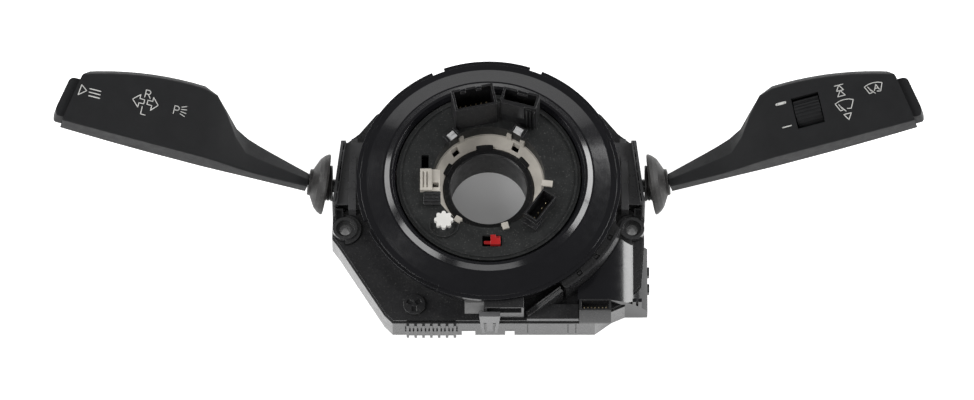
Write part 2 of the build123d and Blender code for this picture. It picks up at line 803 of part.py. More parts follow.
def make_left_socket():
    """The tall socket for the steering-wheel plug."""
    shell = socket_shell(
        left_socket_width, left_socket_depth, socket_inner_radius, socket_floor, socket_top, socket_wall)
    half = left_socket_width / 2
    apron = block(socket_inner_radius, socket_inner_radius + 1.2, -half, half, rotor_top, socket_floor)
    foot = block(
        socket_inner_radius, socket_inner_radius + left_socket_depth, -half, half, rotor_top,
        socket_floor - socket_wall)
    shell += apron + foot
    far = socket_inner_radius + left_socket_depth
    for y in (-4.6, 3.2):
        shell -= block(far - socket_wall - 0.5, far + 1, y, y + 2.6, socket_top - 3.4, socket_top + 1)
    return radial(shell, left_socket_angle)


def make_right_socket():
    """The second socket: a deep narrow slot with a ribbed front."""
    inner = socket_inner_radius + left_socket_depth - right_socket_depth
    far = inner + right_socket_depth
    half = right_socket_width / 2
    shell = socket_shell(
        right_socket_width, right_socket_depth, inner, socket_floor, socket_top, socket_wall)
    shell += block(inner, far, -half, half, rotor_top, socket_floor - socket_wall)
    shell += block(inner - 0.9, inner, -half + 5.5, half - 0.8, rotor_top + 8, socket_top)
    for step in range(3):
        y = -half + 0.4 + 1.7 * step
        shell += block(inner - 1.1, inner, y, y + 0.8, rotor_top, socket_top - 3)
    shell -= block(far - socket_wall - 0.5, far + 1, -3.0, 2.0, socket_top - 3.4, socket_top + 1)
    return radial(Pos(0, right_socket_shift, 0) * shell, right_socket_angle)


def make_lower_socket():
    """The low socket at the well's lower right, with its step."""
    shell = lower_socket_block(0)
    wall = lower_socket_wall
    half = lower_socket_width / 2 - wall
    far = lower_socket_radius + lower_socket_depth - wall
    room = block(lower_socket_radius + wall, far, -half, half, lower_socket_floor, lower_socket_top + 1)
    return shell - radial(room, lower_socket_angle)


def make_socket_pins():
    """Contact pins standing in the sockets."""
    pins = []
    for column in range(6):
        y = (column - 2.5) * pin_pitch
        for x in (31.6, 35.6):
            pin = square_post(x, y, pin_half, socket_floor, socket_floor + pin_height)
            pins.append(radial(pin, left_socket_angle))
        x = socket_inner_radius + left_socket_depth - right_socket_depth / 2
        pin = square_post(x, y + right_socket_shift, pin_half, socket_floor, socket_floor + pin_height)
        pins.append(radial(pin, right_socket_angle))
    for column in range(4):
        y = (column - 1.5) * 3.2
        x = lower_socket_radius + lower_socket_depth / 2
        pin = square_post(x, y, pin_half, lower_socket_floor, lower_socket_floor + 3.0)
        pins.append(radial(pin, lower_socket_angle))
    return Compound(children=pins)


def make_white_connector():
    """The white plug block at the well's left, hooked over its wall."""
    body = block(-33.2, -23.6, -8.2, 3.4, rotor_top, rotor_top + 1.6)
    body += block(-33.2, -27.6, -8.2, 3.4, rotor_top + 1.6, rotor_top + 2.6)
    body += block(-33.2, -23.6, -8.2, 3.4, rotor_top - 5.0, rotor_top) & disc(well_radius - 0.1, 20, 40)
    body -= block(-27.2, -24.2, -6.2, -3.6, rotor_top - 6, rotor_top + 4)
    for x in (-32.0, -30.2):
        body -= block(x, x + 0.8, -6.6, 1.8, rotor_top + 1.8, rotor_top + 4)
    return body


def make_ribbon_bridge():
    """The black ribbed block beside the white plug."""
    low_y = -15.4
    body = block(-31.6, -23.2, low_y, -8.5, rotor_top, rotor_top + 1.6)
    for y in (low_y + 1.0, low_y + 2.8, low_y + 4.6):
        body -= block(-33, -22, y, y + 0.8, rotor_top + 0.8, rotor_top + 3)
    return body


def make_contact_clips():
    """Two bright spring clips in frames on the rim of the well."""
    clips = []
    for angle in (131, 58):
        clip = block(well_radius - 1.3, well_radius + 1.4, -2.0, 2.0, rotor_top, rotor_top + 3.4)
        clip -= block(well_radius - 2, well_radius - 0.5, -3, 3, rotor_top - 1, rotor_top + 2.4)
        clips.append(radial(clip, angle))
    return Compound(children=clips)


def make_red_pin():
    """The red transport pin in its slot."""
    bottom = rotor_top - rotor_thickness
    body = block(red_pin_distance - 3.0, red_pin_distance + 2.2, 0.6, 5.4, bottom, rotor_top + 1.6)
    body -= block(red_pin_distance - 4.0, red_pin_distance - 1.4, 3.2, 7.0, rotor_top, rotor_top + 3)
    body += block(red_pin_distance - 0.6, red_pin_distance + 1.0, -2.6, 0.6, bottom, rotor_top - 0.4)
    return radial(body, red_pin_angle)


def make_lock_button():
    """The white eight-lobed button that locks the rotor at its centre."""
    x, y = lock_place()
    bottom = rotor_top + lock_travel + 0.4
    face = Circle(lock_radius - lock_lobe_radius)
    for lobe in range(lock_lobes):
        angle = math.radians(360 * lobe / lock_lobes)
        reach = lock_radius - lock_lobe_radius
        face += Pos(reach * math.cos(angle), reach * math.sin(angle)) * Circle(lock_lobe_radius)
    head = Pos(x, y, bottom) * extrude(face, lock_height - 1.4)
    stem = disc(lock_stem_radius, rotor_top - 7.5, bottom, x, y)
    return head + stem


def make_lock_spring():
    """The coil spring under the lock button, as rings on a thin sleeve."""
    x, y = lock_place()
    bottom = rotor_top
    top = rotor_top + lock_travel + 0.4
    return tube(lock_stem_radius + 1.0, lock_stem_radius + 0.3, bottom, top, x, y)


# ------------------------------------------------------- side switches
def ladder_strip(inset, z0, z1):
    """The strip along the case's outer face that carries the ladder of pockets."""
    outer = Pos(-inset, 0, 0) * prism(case_face(-inset), z0, z1)
    inner = Pos(inset - ladder_width, 0, 0) * prism(case_face(1.0), z0 - 1, z1 + 1)
    return outer - inner


def make_rail():
    """The bar along the case's top, bent down and inwards at its upper end."""
    bottom = carrier_top + 0.1
    plan = [
        (rail_inner_x, rail_low_y), (rail_outer_x, rail_low_y), (rail_outer_x, rail_bend_y),
        (rail_outer_x - rail_shift, rail_high_y), (rail_inner_x - rail_shift / 2, rail_high_y),
        (rail_inner_x, rail_bend_y),
    ]
    side = [
        (rail_low_y, bottom), (rail_low_y, rail_top),
        (rail_bend_y, rail_top), (rail_high_y, rail_top - rail_drop),
        (rail_high_y, bottom),
    ]
    profile = extrude(make_face(Polyline(*[(0, y, z) for y, z in side], close=True)), 100, dir=(1, 0, 0))
    return prism(make_face(Polyline(*plan, close=True)), bottom, rail_top) & profile


def make_switch_case():
    """The right-hand switch's case: roof, walls, rail and ladder of pockets."""
    low = prism(case_face(0), base_bottom, case_low_top)
    tall = prism(case_face(0), base_bottom, case_top) & block(case_step_x, 90, -30, 40, 0, 40)
    case = low + tall + ladder_strip(0, case_top - 1, ladder_top)
    inside = case_face(-case_wall)
    room = prism(inside, base_bottom - 1, case_low_top - case_low_roof)
    room += prism(inside, base_bottom - 1, case_top - case_roof) & block(
        case_step_x + case_wall, 90, -30, 40, -5, 40)
    pockets = ladder_strip(ladder_wall, ladder_floor, ladder_top + 1)
    pitch = (case_high_y - case_low_y) / ladder_pockets
    for rung in range(1, ladder_pockets):
        y = case_low_y + rung * pitch
        pockets -= block(50, 90, y - ladder_wall / 2, y + ladder_wall / 2, 0, 40)
    case = case + make_rail() - room - pockets
    case -= disc(trunnion_radius + trunnion_gap, case_top - 3, case_top + 0.2, pivot_x, pivot_y)
    return case


def make_switch_lid():
    """The plate that closes the case from behind."""
    top = base_bottom + case_wall
    lid = prism(case_face(-case_wall - 0.1), base_bottom, top)
    lid -= disc(trunnion_radius + trunnion_gap, -1, top + 1, pivot_x, pivot_y)
    return lid


def neck_window(case):
    """Cut the opening that the stalk's neck comes out of."""
    centre_y = pivot_y + (case_outer_x - pivot_x) * math.tan(math.radians(neck_azimuth))
    centre_z = pivot_z + (case_outer_x - pivot_x) * math.tan(math.radians(neck_elevation))
    half_y = neck_window_width / 2
    half_z = neck_window_height / 2
    window = block(
        case_outer_x - 4.4, case_outer_x + 15, centre_y - half_y, centre_y + half_y,
        centre_z - half_z, centre_z + half_z)
    return case - window


def neck_plane():
    """Origin at the pivot, X along the stalk's neck."""
    azimuth = math.radians(neck_azimuth)
    rise = math.radians(neck_elevation)
    along = (math.cos(rise) * math.cos(azimuth), math.cos(rise) * math.sin(azimuth), math.sin(rise))
    up = (-math.sin(rise) * math.cos(azimuth), -math.sin(rise) * math.sin(azimuth), math.cos(rise))
    return Plane(origin=(pivot_x, pivot_y, pivot_z), x_dir=along, z_dir=up)


def plunger_plane():
    """Origin at the pivot, X along the plunger, inwards and down."""
    azimuth = math.radians(neck_azimuth + 180)
    drop = math.radians(plunger_drop)
    along = (math.cos(drop) * math.cos(azimuth), math.cos(drop) * math.sin(azimuth), -math.sin(drop))
    up = (math.sin(drop) * math.cos(azimuth), math.sin(drop) * math.sin(azimuth), math.cos(drop))
    return Plane(origin=(pivot_x, pivot_y, pivot_z), x_dir=along, z_dir=up)


def lying_rod(radius, x0, x1):
    """A rod along X."""
    return Pos((x0 + x1) / 2, 0, 0) * (Rot(0, 90, 0) * Cylinder(radius, x1 - x0))


def make_cam_block():
    """The hollow track that the plunger's tip runs in."""
    far = cam_block_x + cam_block_length
    bottom = base_bottom + case_wall
    body = block(cam_block_x, far, pivot_y - 7.5, pivot_y + 4.5, bottom, case_low_top - case_low_roof)
    return body - Pos(pivot_x, pivot_y, pivot_z) * Sphere(cam_radius)


def make_gimbal_frame():
    """The frame that turns about Z and carries the stalk's cross pin."""
    centre = Pos(pivot_x, pivot_y, pivot_z)
    length = frame_half_length
    width = frame_half_width
    frame = block(-length, length, -width, width, -frame_drop, frame_rise)
    width -= frame_bar
    frame -= block(-2 * length, 2 * length, -width, width, frame_bar - frame_drop, frame_rise - frame_bar)
    frame = centre * frame
    low = pivot_z - frame_drop
    frame += disc(trunnion_radius, pivot_z + frame_rise, case_top, pivot_x, pivot_y)
    frame += disc(3.0, base_bottom + case_wall + seat_gap, low, pivot_x, pivot_y)
    frame += disc(trunnion_radius, base_bottom, low, pivot_x, pivot_y)
    frame -= centre * (Rot(90, 0, 0) * Cylinder(cross_pin_radius, 40))
    return frame


def make_cross_pin():
    """The pin that the stalk tips about."""
    length = 2 * frame_half_width
    return Pos(pivot_x, pivot_y, pivot_z) * (Rot(90, 0, 0) * Cylinder(cross_pin_radius, length))


# ---------------------------------------------------------------- stalks
def stalk_plane():
    """Origin at the pivot, X along the stalk, Z out of its face."""
    azimuth = math.radians(stalk_azimuth)
    rise = math.radians(stalk_elevation)
    along = (math.cos(rise) * math.cos(azimuth), math.cos(rise) * math.sin(azimuth), math.sin(rise))
    up = (-math.sin(rise) * math.cos(azimuth), -math.sin(rise) * math.sin(azimuth), math.cos(rise))
    return Plane(origin=(pivot_x, pivot_y, pivot_z), x_dir=along, z_dir=up)


def on_stalk(shape):
    """Place a piece made in the stalk's own directions."""
    return stalk_plane().location * shape


def stalk_section(station, low, ridge, high, front, drop, back, wall):
    """One five-sided slice across the stalk: rounded outside, sharp inside."""
    corners = [
        (low + wall, front - wall), (ridge - wall / 2, front - wall), (high - wall, front - drop - wall / 2),
        (high - wall - 0.8, back + wall), (low + wall + 0.8, back + wall),
    ]
    plane = Plane(origin=(station, 0, 0), x_dir=(0, 1, 0), z_dir=(1, 0, 0))
    if wall > 0:
        return plane * make_face(Polyline(*corners, close=True))
    return plane * rounded_face(corners, [0.9, 2.0, 1.6, 1.8, 1.8])


def ease(value, start, end):
    """A smooth step from 0 at start to 1 at end."""
    share = min(max((value - start) / (end - start), 0.0), 1.0)
    return share * share * (3 - 2 * share)


def stalk_sizes(station):
    """The low edge, ridge, high edge, front and back of the stalk at one distance from the pivot."""
    root_high = low_edge + 0.4 + arm_root_width
    arm_slope = (low_edge + arm_end_width - root_high) / (arm_end - arm_start)
    arm_high = root_high + arm_slope * (station - arm_start)
    crown = paddle_crown * (station - paddle_start - 12) ** 2
    paddle_high = low_edge - 0.5 + paddle_width - crown
    high = arm_high + (paddle_high - arm_high) * ease(station, arm_end + 8, paddle_start + 5.5)
    arm_ridge = root_high - 5.5 + arm_slope / 2 * (station - arm_start)
    step = ease(station, arm_end + 4, paddle_start + 2)
    ridge = arm_ridge + (paddle_high - 3.2 - arm_ridge) * step
    rise = ease(station, arm_start + 22, paddle_start)
    front = arm_front + (paddle_front - arm_front) * rise - 0.0003 * (station - paddle_start - 12) ** 2 * rise
    back = arm_back + (paddle_back - arm_back) * rise + 0.0002 * (station - paddle_start - 12) ** 2 * rise
    low = low_edge - 0.6 + 0.0002 * (station - paddle_start - 16) ** 2
    return low, ridge, high, front, 4.4 - 0.8 * step, back


def stalk_slice(station, wall):
    """The stalk's cross-section at one distance from the pivot."""
    return stalk_section(station, *stalk_sizes(station), wall)


def stalk_form(wall):
    """The stalk's whole outside, or its inside at a wall's depth."""
    end = stalk_end + 2 if wall == 0 else stalk_end - 8.4
    count = round((end - arm_start) / station_step)
    gap = (end - arm_start) / count
    slices = [stalk_slice(arm_start + gap * index, wall) for index in range(count + 1)]
    return loft(slices, ruled=True)


def tip_trim():
    """The plan that gives the paddle its rounded end."""
    end = stalk_end
    high = stalk_sizes(end)[2]
    points = [
        (-10, -40), (end + 0.1, -40), (end, -6), (end - 4.2, high - 1.7), (end - 9.2, high + 4.0),
        (end - 17, high + 7.4), (end - 17, 60), (-10, 60),
    ]
    plan = rounded_face(points, [0, 0, 60, 5, 6, 0, 0, 0])
    return prism(plan, -30, 30)


def button_high():
    """The upper edge of the end button, under the paddle's crown."""
    return stalk_sizes(stalk_end)[2] - button_margin


def button_room(gap):
    """The end button's block, grown by a gap."""
    low = button_low - gap
    high = button_high() + gap
    start = stalk_end - button_depth
    end = stalk_end + button_proud
    points = [(start, low), (end - 0.6, low), (end + 0.2, low + 4), (end - 3.2, high), (start, high)]
    plan = rounded_face(points, [0, 1.6, 8, 3.0, 0])
    return prism(plan, button_back - gap, button_front + gap)


def stalk_shells():
    """Front and back shells of a plain stalk."""
    outer = stalk_form(0) & tip_trim()
    inner = stalk_form(shell_wall)
    hollow = outer - inner - button_room(button_gap)
    front = hollow & block(0, 200, -60, 60, shell_split, 30)
    back = hollow & block(0, 200, -60, 60, -30, shell_split)
    return front, back


def cut_window(front):
    """Open the wiper stalk's face for its thumbwheel and add the wheel's ears."""
    half_length = window_length / 2
    half_height = window_height / 2
    ears = block(
        wheel_s - half_length - ear_thickness, wheel_s + half_length + ear_thickness,
        wheel_w - 2.4, wheel_w + 2.4, shell_split, paddle_front - 1.0)
    ears -= block(
        wheel_s - half_length, wheel_s + half_length, wheel_w - 3, wheel_w + 3,
        shell_split - 1, paddle_front + 1)
    front += ears
    front -= block(
        wheel_s - half_length, wheel_s + half_length, window_w - half_height, window_w + half_height,
        paddle_front - 4.0, paddle_front + 4)
    axle = Cylinder(wheel_shaft_radius + 0.05, window_length + 2 * ear_thickness + 2)
    return front - Pos(wheel_s, wheel_w, wheel_n) * (Rot(0, 90, 0) * axle)


def make_thumbwheel():
    """The ribbed part-drum that is rolled with the thumb."""
    drum = Cylinder(wheel_radius, wheel_length) - Cylinder(wheel_radius - 2.0, wheel_length + 2)
    half = math.radians(wheel_sector / 2)
    reach = 3 * wheel_radius
    wedge_points = [
        (0, 0), (reach * math.cos(half), -reach * math.sin(half)), (reach, 0),
        (reach * math.cos(half), reach * math.sin(half))]
    wedge = prism(make_face(Polyline(*wedge_points, close=True)), -wheel_length, wheel_length)
    drum = drum & wedge
    for rib in range(wheel_rib_count):
        angle = (rib - (wheel_rib_count - 1) / 2) * wheel_sector / (wheel_rib_count + 1)
        groove = Pos(wheel_radius, 0, 0) * Box(0.8, 0.8, wheel_length + 2)
        drum -= Rot(0, 0, angle) * groove
    web = block(0, wheel_radius - 1.5, -0.9, 0.9, -wheel_length / 2, wheel_length / 2)
    tab = block(wheel_radius - 0.6, wheel_radius + 0.7, -0.6, 0.6, -wheel_length / 2, wheel_length / 2)
    tab = Rot(0, 0, -34) * tab
    hub = Cylinder(2.3, wheel_length)
    shaft = Cylinder(wheel_shaft_radius, window_length + 2 * ear_thickness)
    wheel = drum + web + tab + hub + shaft
    turn = Plane(origin=(wheel_s, wheel_w, wheel_n), x_dir=(0, 0, 1), z_dir=(1, 0, 0))
    return turn.location * wheel


def make_end_button():
    """The button in the end of the stalk, as a hollow cap."""
    cap = button_room(0)
    start = stalk_end - button_depth
    wall = 1.4
    cap -= block(
        start - 1, stalk_end - 1.0, button_low + wall, button_high() - wall, button_back + wall,
        button_front - wall)
    return cap


def make_stalk_core():
    """The lever: root block, neck, collar and bar."""
    half_y = frame_half_width - frame_bar - root_gap
    half_z = neck_radius + 0.2
    root = Pos(pivot_x, pivot_y, pivot_z) * Box(2 * frame_half_length - 0.6, 2 * half_y, 2 * half_z)
    neck = lying_rod(neck_radius, 0, neck_end)
    collar_length = neck_end - 3 - collar_start
    cone = Pos(collar_start + collar_length / 2, 0, 0) * (
        Rot(0, 90, 0) * Cone(collar_large_radius, neck_radius + 1.2, collar_length))
    core = root + neck_plane().location * (neck + cone)
    guide = plunger_plane().location * lying_rod(plunger_radius + 0.7, 0, plunger_tip_radius - 4.5)
    core += guide
    bar = Pos(41.0, -0.1, -1.9) * (Rot(0, 0, 6.4) * Box(42, 3.2, 2.6))
    core += on_stalk(bar)
    core -= Pos(pivot_x, pivot_y, pivot_z) * (Rot(90, 0, 0) * Cylinder(cross_pin_radius + 0.05, 60))
    core -= plunger_plane().location * lying_rod(plunger_radius + 0.1, 3.4, 30)
    return core


def make_plunger():
    """The spring-loaded pin that feels for the detents."""
    rod = lying_rod(plunger_radius, 3.6, plunger_tip_radius - plunger_radius)
    tip = Pos(plunger_tip_radius - plunger_radius, 0, 0) * Sphere(plunger_radius)
    return plunger_plane().location * (rod + tip)


def make_boot():
    """The dished collar round the stalk's root, in conical steps."""
    end = neck_end + 0.2
    hole = neck_radius + 0.1
    steps = [(0.0, 0.9), (-1.0, 2.6), (-2.9, 4.5), (-5.6, 5.9)]
    outer = [(boot_rim_radius + shrink, boot_rim_start + rise) for shrink, rise in steps]
    inner = [(radius - boot_wall, along - 1.0) for radius, along in outer[1:]]
    profile = [
        (boot_rim_radius - boot_wall, boot_rim_start), (boot_rim_radius, boot_rim_start), *outer,
        (boot_end_radius + 0.2, end - 1.4), (boot_end_radius, end), (hole, end),
        (hole, end - 1.4 - boot_wall),
        (boot_end_radius - 0.6, end - 1.4 - boot_wall), *reversed(inner),
    ]
    return neck_plane().location * (Rot(0, 90, 0) * turned(profile))


def make_stalk_board():
    """The small circuit board in the paddle, with the button's switch."""
    start = paddle_start + 4
    end = stalk_end - button_depth - button_travel - board_clearance
    high = min(stalk_sizes(start)[2], stalk_sizes(end)[2]) - shell_wall - board_margin
    board = block(start, end, board_low, high, shell_split - 1.6, shell_split)
    reach = wheel_length / 2 + 1.6
    board -= block(wheel_s - reach, wheel_s + reach, wheel_w - 3.2, high + 1, -10, 0)
    board += block(end - 5.0, end, 3.0, 10.0, shell_split, shell_split + 3.4)
    return board


def main():
    os.makedirs("parts", exist_ok=True)
    right_front, right_back = stalk_shells()
    case = neck_window(make_switch_case())
    right_hand = {
        "switch_case": case,
        "switch_lid": make_switch_lid(),
        "cam_block": make_cam_block(),
        "gimbal_frame": make_gimbal_frame(),
        "cross_pin": make_cross_pin(),
        "stalk_core": make_stalk_core(),
        "stalk_plunger": make_plunger(),
        "stalk_boot": make_boot(),
        "stalk_board": on_stalk(make_stalk_board()),
        "end_button": on_stalk(make_end_button()),
    }
    pieces = {
        "base_housing": make_base_housing(),
        "carrier_plate": make_carrier_plate(),
        "rear_cover": make_rear_cover(),
        "cover_screws": make_cover_screws(),
        "control_board": make_control_board(),
        "board_components": make_board_components(),
        "cassette_cup": make_cassette_cup(),
        "cassette_cover": make_cassette_cover(),
        "ribbon_coil": make_ribbon_coil(),
        "contact_comb": make_contact_comb(),
        "sensor_dome": make_sensor_dome(),
        "front_block": make_front_block(),
        "harness_connector": make_harness_connector(),
        "harness_pins": make_harness_pins(),
        "latch_box": make_latch_box(),
        "latch_bracket": make_latch_bracket(),
        "latch_clip": make_latch_clip(),
        "round_plug": make_round_plug(),
        "edge_strap": make_edge_strap(),
        "rotor_disc": make_rotor_disc(),
        "hub_ring": make_hub_ring(),
        "hub_sleeve": make_hub_sleeve(),
        "code_disc": make_code_disc(),
        "left_socket": make_left_socket(),
        "right_socket": make_right_socket(),
        "lower_socket": make_lower_socket(),
        "socket_pins": make_socket_pins(),
        "white_connector": make_white_connector(),
        "ribbon_bridge": make_ribbon_bridge(),
        "contact_clips": make_contact_clips(),
        "red_pin": make_red_pin(),
        "lock_button": make_lock_button(),
        "lock_spring": make_lock_spring(),
    }
    for name, shape in right_hand.items():
        pieces["right_" + name] = shape
        pieces["left_" + name] = mirrored(shape)
    pieces["right_front_shell"] = on_stalk(cut_window(right_front))
    pieces["right_thumbwheel"] = on_stalk(make_thumbwheel())
    pieces["right_back_shell"] = on_stalk(right_back)
    pieces["left_front_shell"] = mirrored(on_stalk(right_front))
    pieces["left_back_shell"] = mirrored(on_stalk(right_back))
    for name, shape in pieces.items():
        export_step(shape, "parts/" + name + ".step")


main()
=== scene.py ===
"""The looks of the combination stalk switch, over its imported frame."""
import json
import math

import bmesh
import bpy
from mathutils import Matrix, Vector
from mathutils.bvhtree import BVHTree


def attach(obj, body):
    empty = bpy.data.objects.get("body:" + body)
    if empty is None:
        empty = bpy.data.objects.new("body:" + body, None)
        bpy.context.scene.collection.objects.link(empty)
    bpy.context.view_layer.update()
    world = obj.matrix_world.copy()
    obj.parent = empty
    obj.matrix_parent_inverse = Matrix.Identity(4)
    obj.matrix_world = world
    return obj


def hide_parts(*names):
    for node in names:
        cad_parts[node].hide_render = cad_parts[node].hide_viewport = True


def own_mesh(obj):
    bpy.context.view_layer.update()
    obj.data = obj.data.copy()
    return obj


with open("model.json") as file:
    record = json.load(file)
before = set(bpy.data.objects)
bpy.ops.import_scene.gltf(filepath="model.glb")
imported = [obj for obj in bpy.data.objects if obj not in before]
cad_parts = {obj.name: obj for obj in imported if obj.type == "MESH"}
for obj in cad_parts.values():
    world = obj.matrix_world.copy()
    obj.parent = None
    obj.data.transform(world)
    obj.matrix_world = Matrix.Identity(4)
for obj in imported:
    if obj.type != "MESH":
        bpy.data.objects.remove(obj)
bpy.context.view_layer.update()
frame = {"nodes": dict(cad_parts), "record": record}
nodes = frame["nodes"]

MM = 0.001

# Each lever's own axes: s runs out along it, w across its face and n out of it.
PIVOT = Vector((66.2, 3.3, 13.4))
ALONG = Vector((0.96351, 0.19603, 0.18224))
ACROSS = Vector((-0.19937, 0.97992, 0.0))
OUTWARD = Vector((-0.17858, -0.03633, 0.98325))


def lever_point(side, s, w, n):
    """A point on a lever, from millimetres along, across and out of it."""
    point = (PIVOT + s * ALONG + w * ACROSS + n * OUTWARD) * MM
    return Vector((side * point.x, point.y, point.z))


# ------------------------------------------------------------- materials
# A noise is its scale per metre, its detail and its roughness.
MOTTLE_NOISE = (90.0, 5.0, 0.55)
WEAR_NOISE = (260.0, 6.0, 0.65)
DUST_NOISE = (1500.0, 2.0, 0.5)
GRAIN_DETAIL = 3.0
GRAIN_ROUGHNESS = 0.6
DUST_COLOUR = (0.42, 0.41, 0.39)
DUST_START = 0.62
DUST_END = 0.74
COAT_ROUGHNESS = 0.06
GRAIN_DEPTH = 0.00012
LIGHTER_MOTTLE = 1.3

# The painted shade on the ladder's pockets lies below this height and further out than this, in metres.
POCKET_SHADE_TOP = 0.0206
POCKET_SHADE_START = 0.0682
# The near-black colour of the pockets' painted shade.
POCKET_SHADE_COLOUR = (0.002, 0.002, 0.002)

# The finish of each of the record's slots, and three that only the nodes of OWN_FINISH and
# some fittings have. A grain's size is in millimetres.
FINISHES = {
    "housing_plastic": dict(
        name="housing", colour=(0.038, 0.038, 0.039), rough=(0.2, 0.34), grain=0.1, grain_size=0.45,
        coat=0.42, dust=0.2),
    "plate_plastic": dict(
        name="plate", colour=(0.022, 0.022, 0.023), rough=(0.22, 0.36), grain=0.12, grain_size=0.4,
        coat=0.3, dust=0.15),
    "cover_gloss": dict(
        name="cover", colour=(0.0078, 0.0078, 0.0094), rough=(0.15, 0.2), grain=0.04, grain_size=1.6,
        coat=0.2, mottle=0.05),
    "rotor_plastic": dict(
        name="rotor", colour=(0.0145, 0.0155, 0.0155), rough=(0.4, 0.54), grain=0.4, grain_size=0.3,
        dust=0.22),
    "socket_plastic": dict(
        name="socket", colour=(0.011, 0.011, 0.012), rough=(0.28, 0.42), grain=0.2, dust=0.2),
    "ivory_plastic": dict(
        name="ivory", colour=(0.50, 0.47, 0.42), rough=(0.4, 0.55), grain=0.15, grain_size=0.5),
    "white_plastic": dict(
        name="white", colour=(0.74, 0.73, 0.70), rough=(0.34, 0.48), grain=0.1, grain_size=0.5,
        mottle=0.05),
    "red_plastic": dict(
        name="red", colour=(0.36, 0.011, 0.012), rough=(0.3, 0.42), grain=0.1, grain_size=0.5),
    "pale_plastic": dict(
        name="pale", colour=(0.16, 0.16, 0.16), rough=(0.4, 0.55), grain=0.2, grain_size=0.45),
    "stalk_plastic": dict(
        name="stalk", colour=(0.0165, 0.0168, 0.0178), rough=(0.5, 0.6), grain=0.4, grain_size=0.22,
        mottle=0.06, shine=0.18),
    "boot_rubber": dict(
        name="boot", colour=(0.015, 0.014, 0.0135), rough=(0.42, 0.56), grain=0.3, grain_size=0.6,
        dust=0.15, shine=0.4),
    "board_green": dict(
        name="board", colour=(0.006, 0.05, 0.022), rough=(0.3, 0.4), grain=0.1, grain_size=0.8),
    "chip_black": dict(
        name="chip", colour=(0.012, 0.012, 0.012), rough=(0.4, 0.5), grain=0.2, grain_size=0.3),
    "ribbon_film": dict(name="film", colour=(0.42, 0.41, 0.38), rough=(0.2, 0.3)),
    "spring_steel": dict(
        name="steel", colour=(0.55, 0.55, 0.56), rough=(0.2, 0.34), grain=0.06, grain_size=0.7,
        metal=1.0),
    "contact_brass": dict(
        name="contact", colour=(0.72, 0.6, 0.38), rough=(0.22, 0.34), metal=1.0),
    "tinned": dict(
        name="tinned", colour=(0.78, 0.78, 0.78), rough=(0.3, 0.45), grain=0.05, grain_size=0.5,
        metal=0.3),
    "smoked": dict(
        name="smoked", colour=(0.14, 0.14, 0.145), rough=(0.16, 0.26), grain=0.05, grain_size=0.6,
        coat=0.4),
    "rail": dict(
        name="rail", colour=(0.07, 0.07, 0.072), rough=(0.24, 0.38), grain=0.12, grain_size=0.4,
        coat=0.3),
}
INK = dict(name="ink", colour=(0.62, 0.62, 0.60), rough=(0.5, 0.6), mottle=0.1)


def link(tree, source, output, target, socket):
    """Join two nodes of a shader tree."""
    tree.links.new(source.outputs[output], target.inputs[socket])


def noise(tree, coordinates, scale, detail, roughness):
    """A noise texture in the piece's own coordinates."""
    texture = tree.nodes.new("ShaderNodeTexNoise")
    texture.inputs["Scale"].default_value = scale
    texture.inputs["Detail"].default_value = detail
    texture.inputs["Roughness"].default_value = roughness
    link(tree, coordinates, "Object", texture, "Vector")
    return texture


def ramp(tree, source, low, high, start=0.35, end=0.65):
    """A ramp over a noise, from one colour or grey to another."""
    node = tree.nodes.new("ShaderNodeValToRGB")
    stops = node.color_ramp.elements
    for stop, position, value in zip(stops, (start, end), (low, high)):
        stop.position = position
        stop.color = (*value, 1) if isinstance(value, tuple) else (value, value, value, 1)
    link(tree, source, "Fac", node, "Fac")
    return node


def paint_over(tree, under, mask, colour):
    """Lay a colour over a socket's colour where a mask is white."""
    mix = tree.nodes.new("ShaderNodeMixRGB")
    mix.inputs["Color2"].default_value = (*colour, 1)
    tree.links.new(mask, mix.inputs["Fac"])
    tree.links.new(under, mix.inputs["Color1"])
    return mix


def calculate(tree, operation, *values, clamp=False):
    """The result of a maths node, from other nodes' outputs and plain numbers."""
    node = tree.nodes.new("ShaderNodeMath")
    node.operation = operation
    node.use_clamp = clamp
    for index, value in enumerate(values):
        if isinstance(value, bpy.types.NodeSocket):
            tree.links.new(value, node.inputs[index])
        else:
            node.inputs[index].default_value = value
    return node.outputs["Value"]


def surface(name, colour, rough, grain=0.0, grain_size=0.35, metal=0.0, coat=0.0, mottle=0.12, dust=0.0,
            shine=0.5):
    """A procedural material: mottled colour, uneven gloss, fine grain and a little dust."""
    material = bpy.data.materials.new(name)
    material.use_nodes = True
    tree = material.node_tree
    shader = tree.nodes["Principled BSDF"]
    coordinates = tree.nodes.new("ShaderNodeTexCoord")
    cloud = noise(tree, coordinates, *MOTTLE_NOISE)
    low = tuple(c * (1 - mottle) for c in colour)
    high = tuple(min(1.0, c * (1 + LIGHTER_MOTTLE * mottle)) for c in colour)
    finish = ramp(tree, cloud, low, high)
    if dust:
        specks = noise(tree, coordinates, *DUST_NOISE)
        mask = ramp(tree, specks, 0.0, dust, DUST_START, DUST_END)
        finish = paint_over(tree, finish.outputs["Color"], mask.outputs["Color"], DUST_COLOUR)
    link(tree, finish, "Color", shader, "Base Color")
    wear = noise(tree, coordinates, *WEAR_NOISE)
    gloss = ramp(tree, wear, *rough)
    link(tree, gloss, "Color", shader, "Roughness")
    shader.inputs["Metallic"].default_value = metal
    shader.inputs["Specular IOR Level"].default_value = shine
    shader.inputs["Coat Weight"].default_value = coat
    shader.inputs["Coat Roughness"].default_value = COAT_ROUGHNESS
    if grain:
        texture = noise(tree, coordinates, 1 / (grain_size * MM), GRAIN_DETAIL, GRAIN_ROUGHNESS)
        bump = tree.nodes.new("ShaderNodeBump")
        bump.inputs["Strength"].default_value = grain
        bump.inputs["Distance"].default_value = GRAIN_DEPTH
        link(tree, texture, "Fac", bump, "Height")
        link(tree, bump, "Normal", shader, "Normal")
    return material


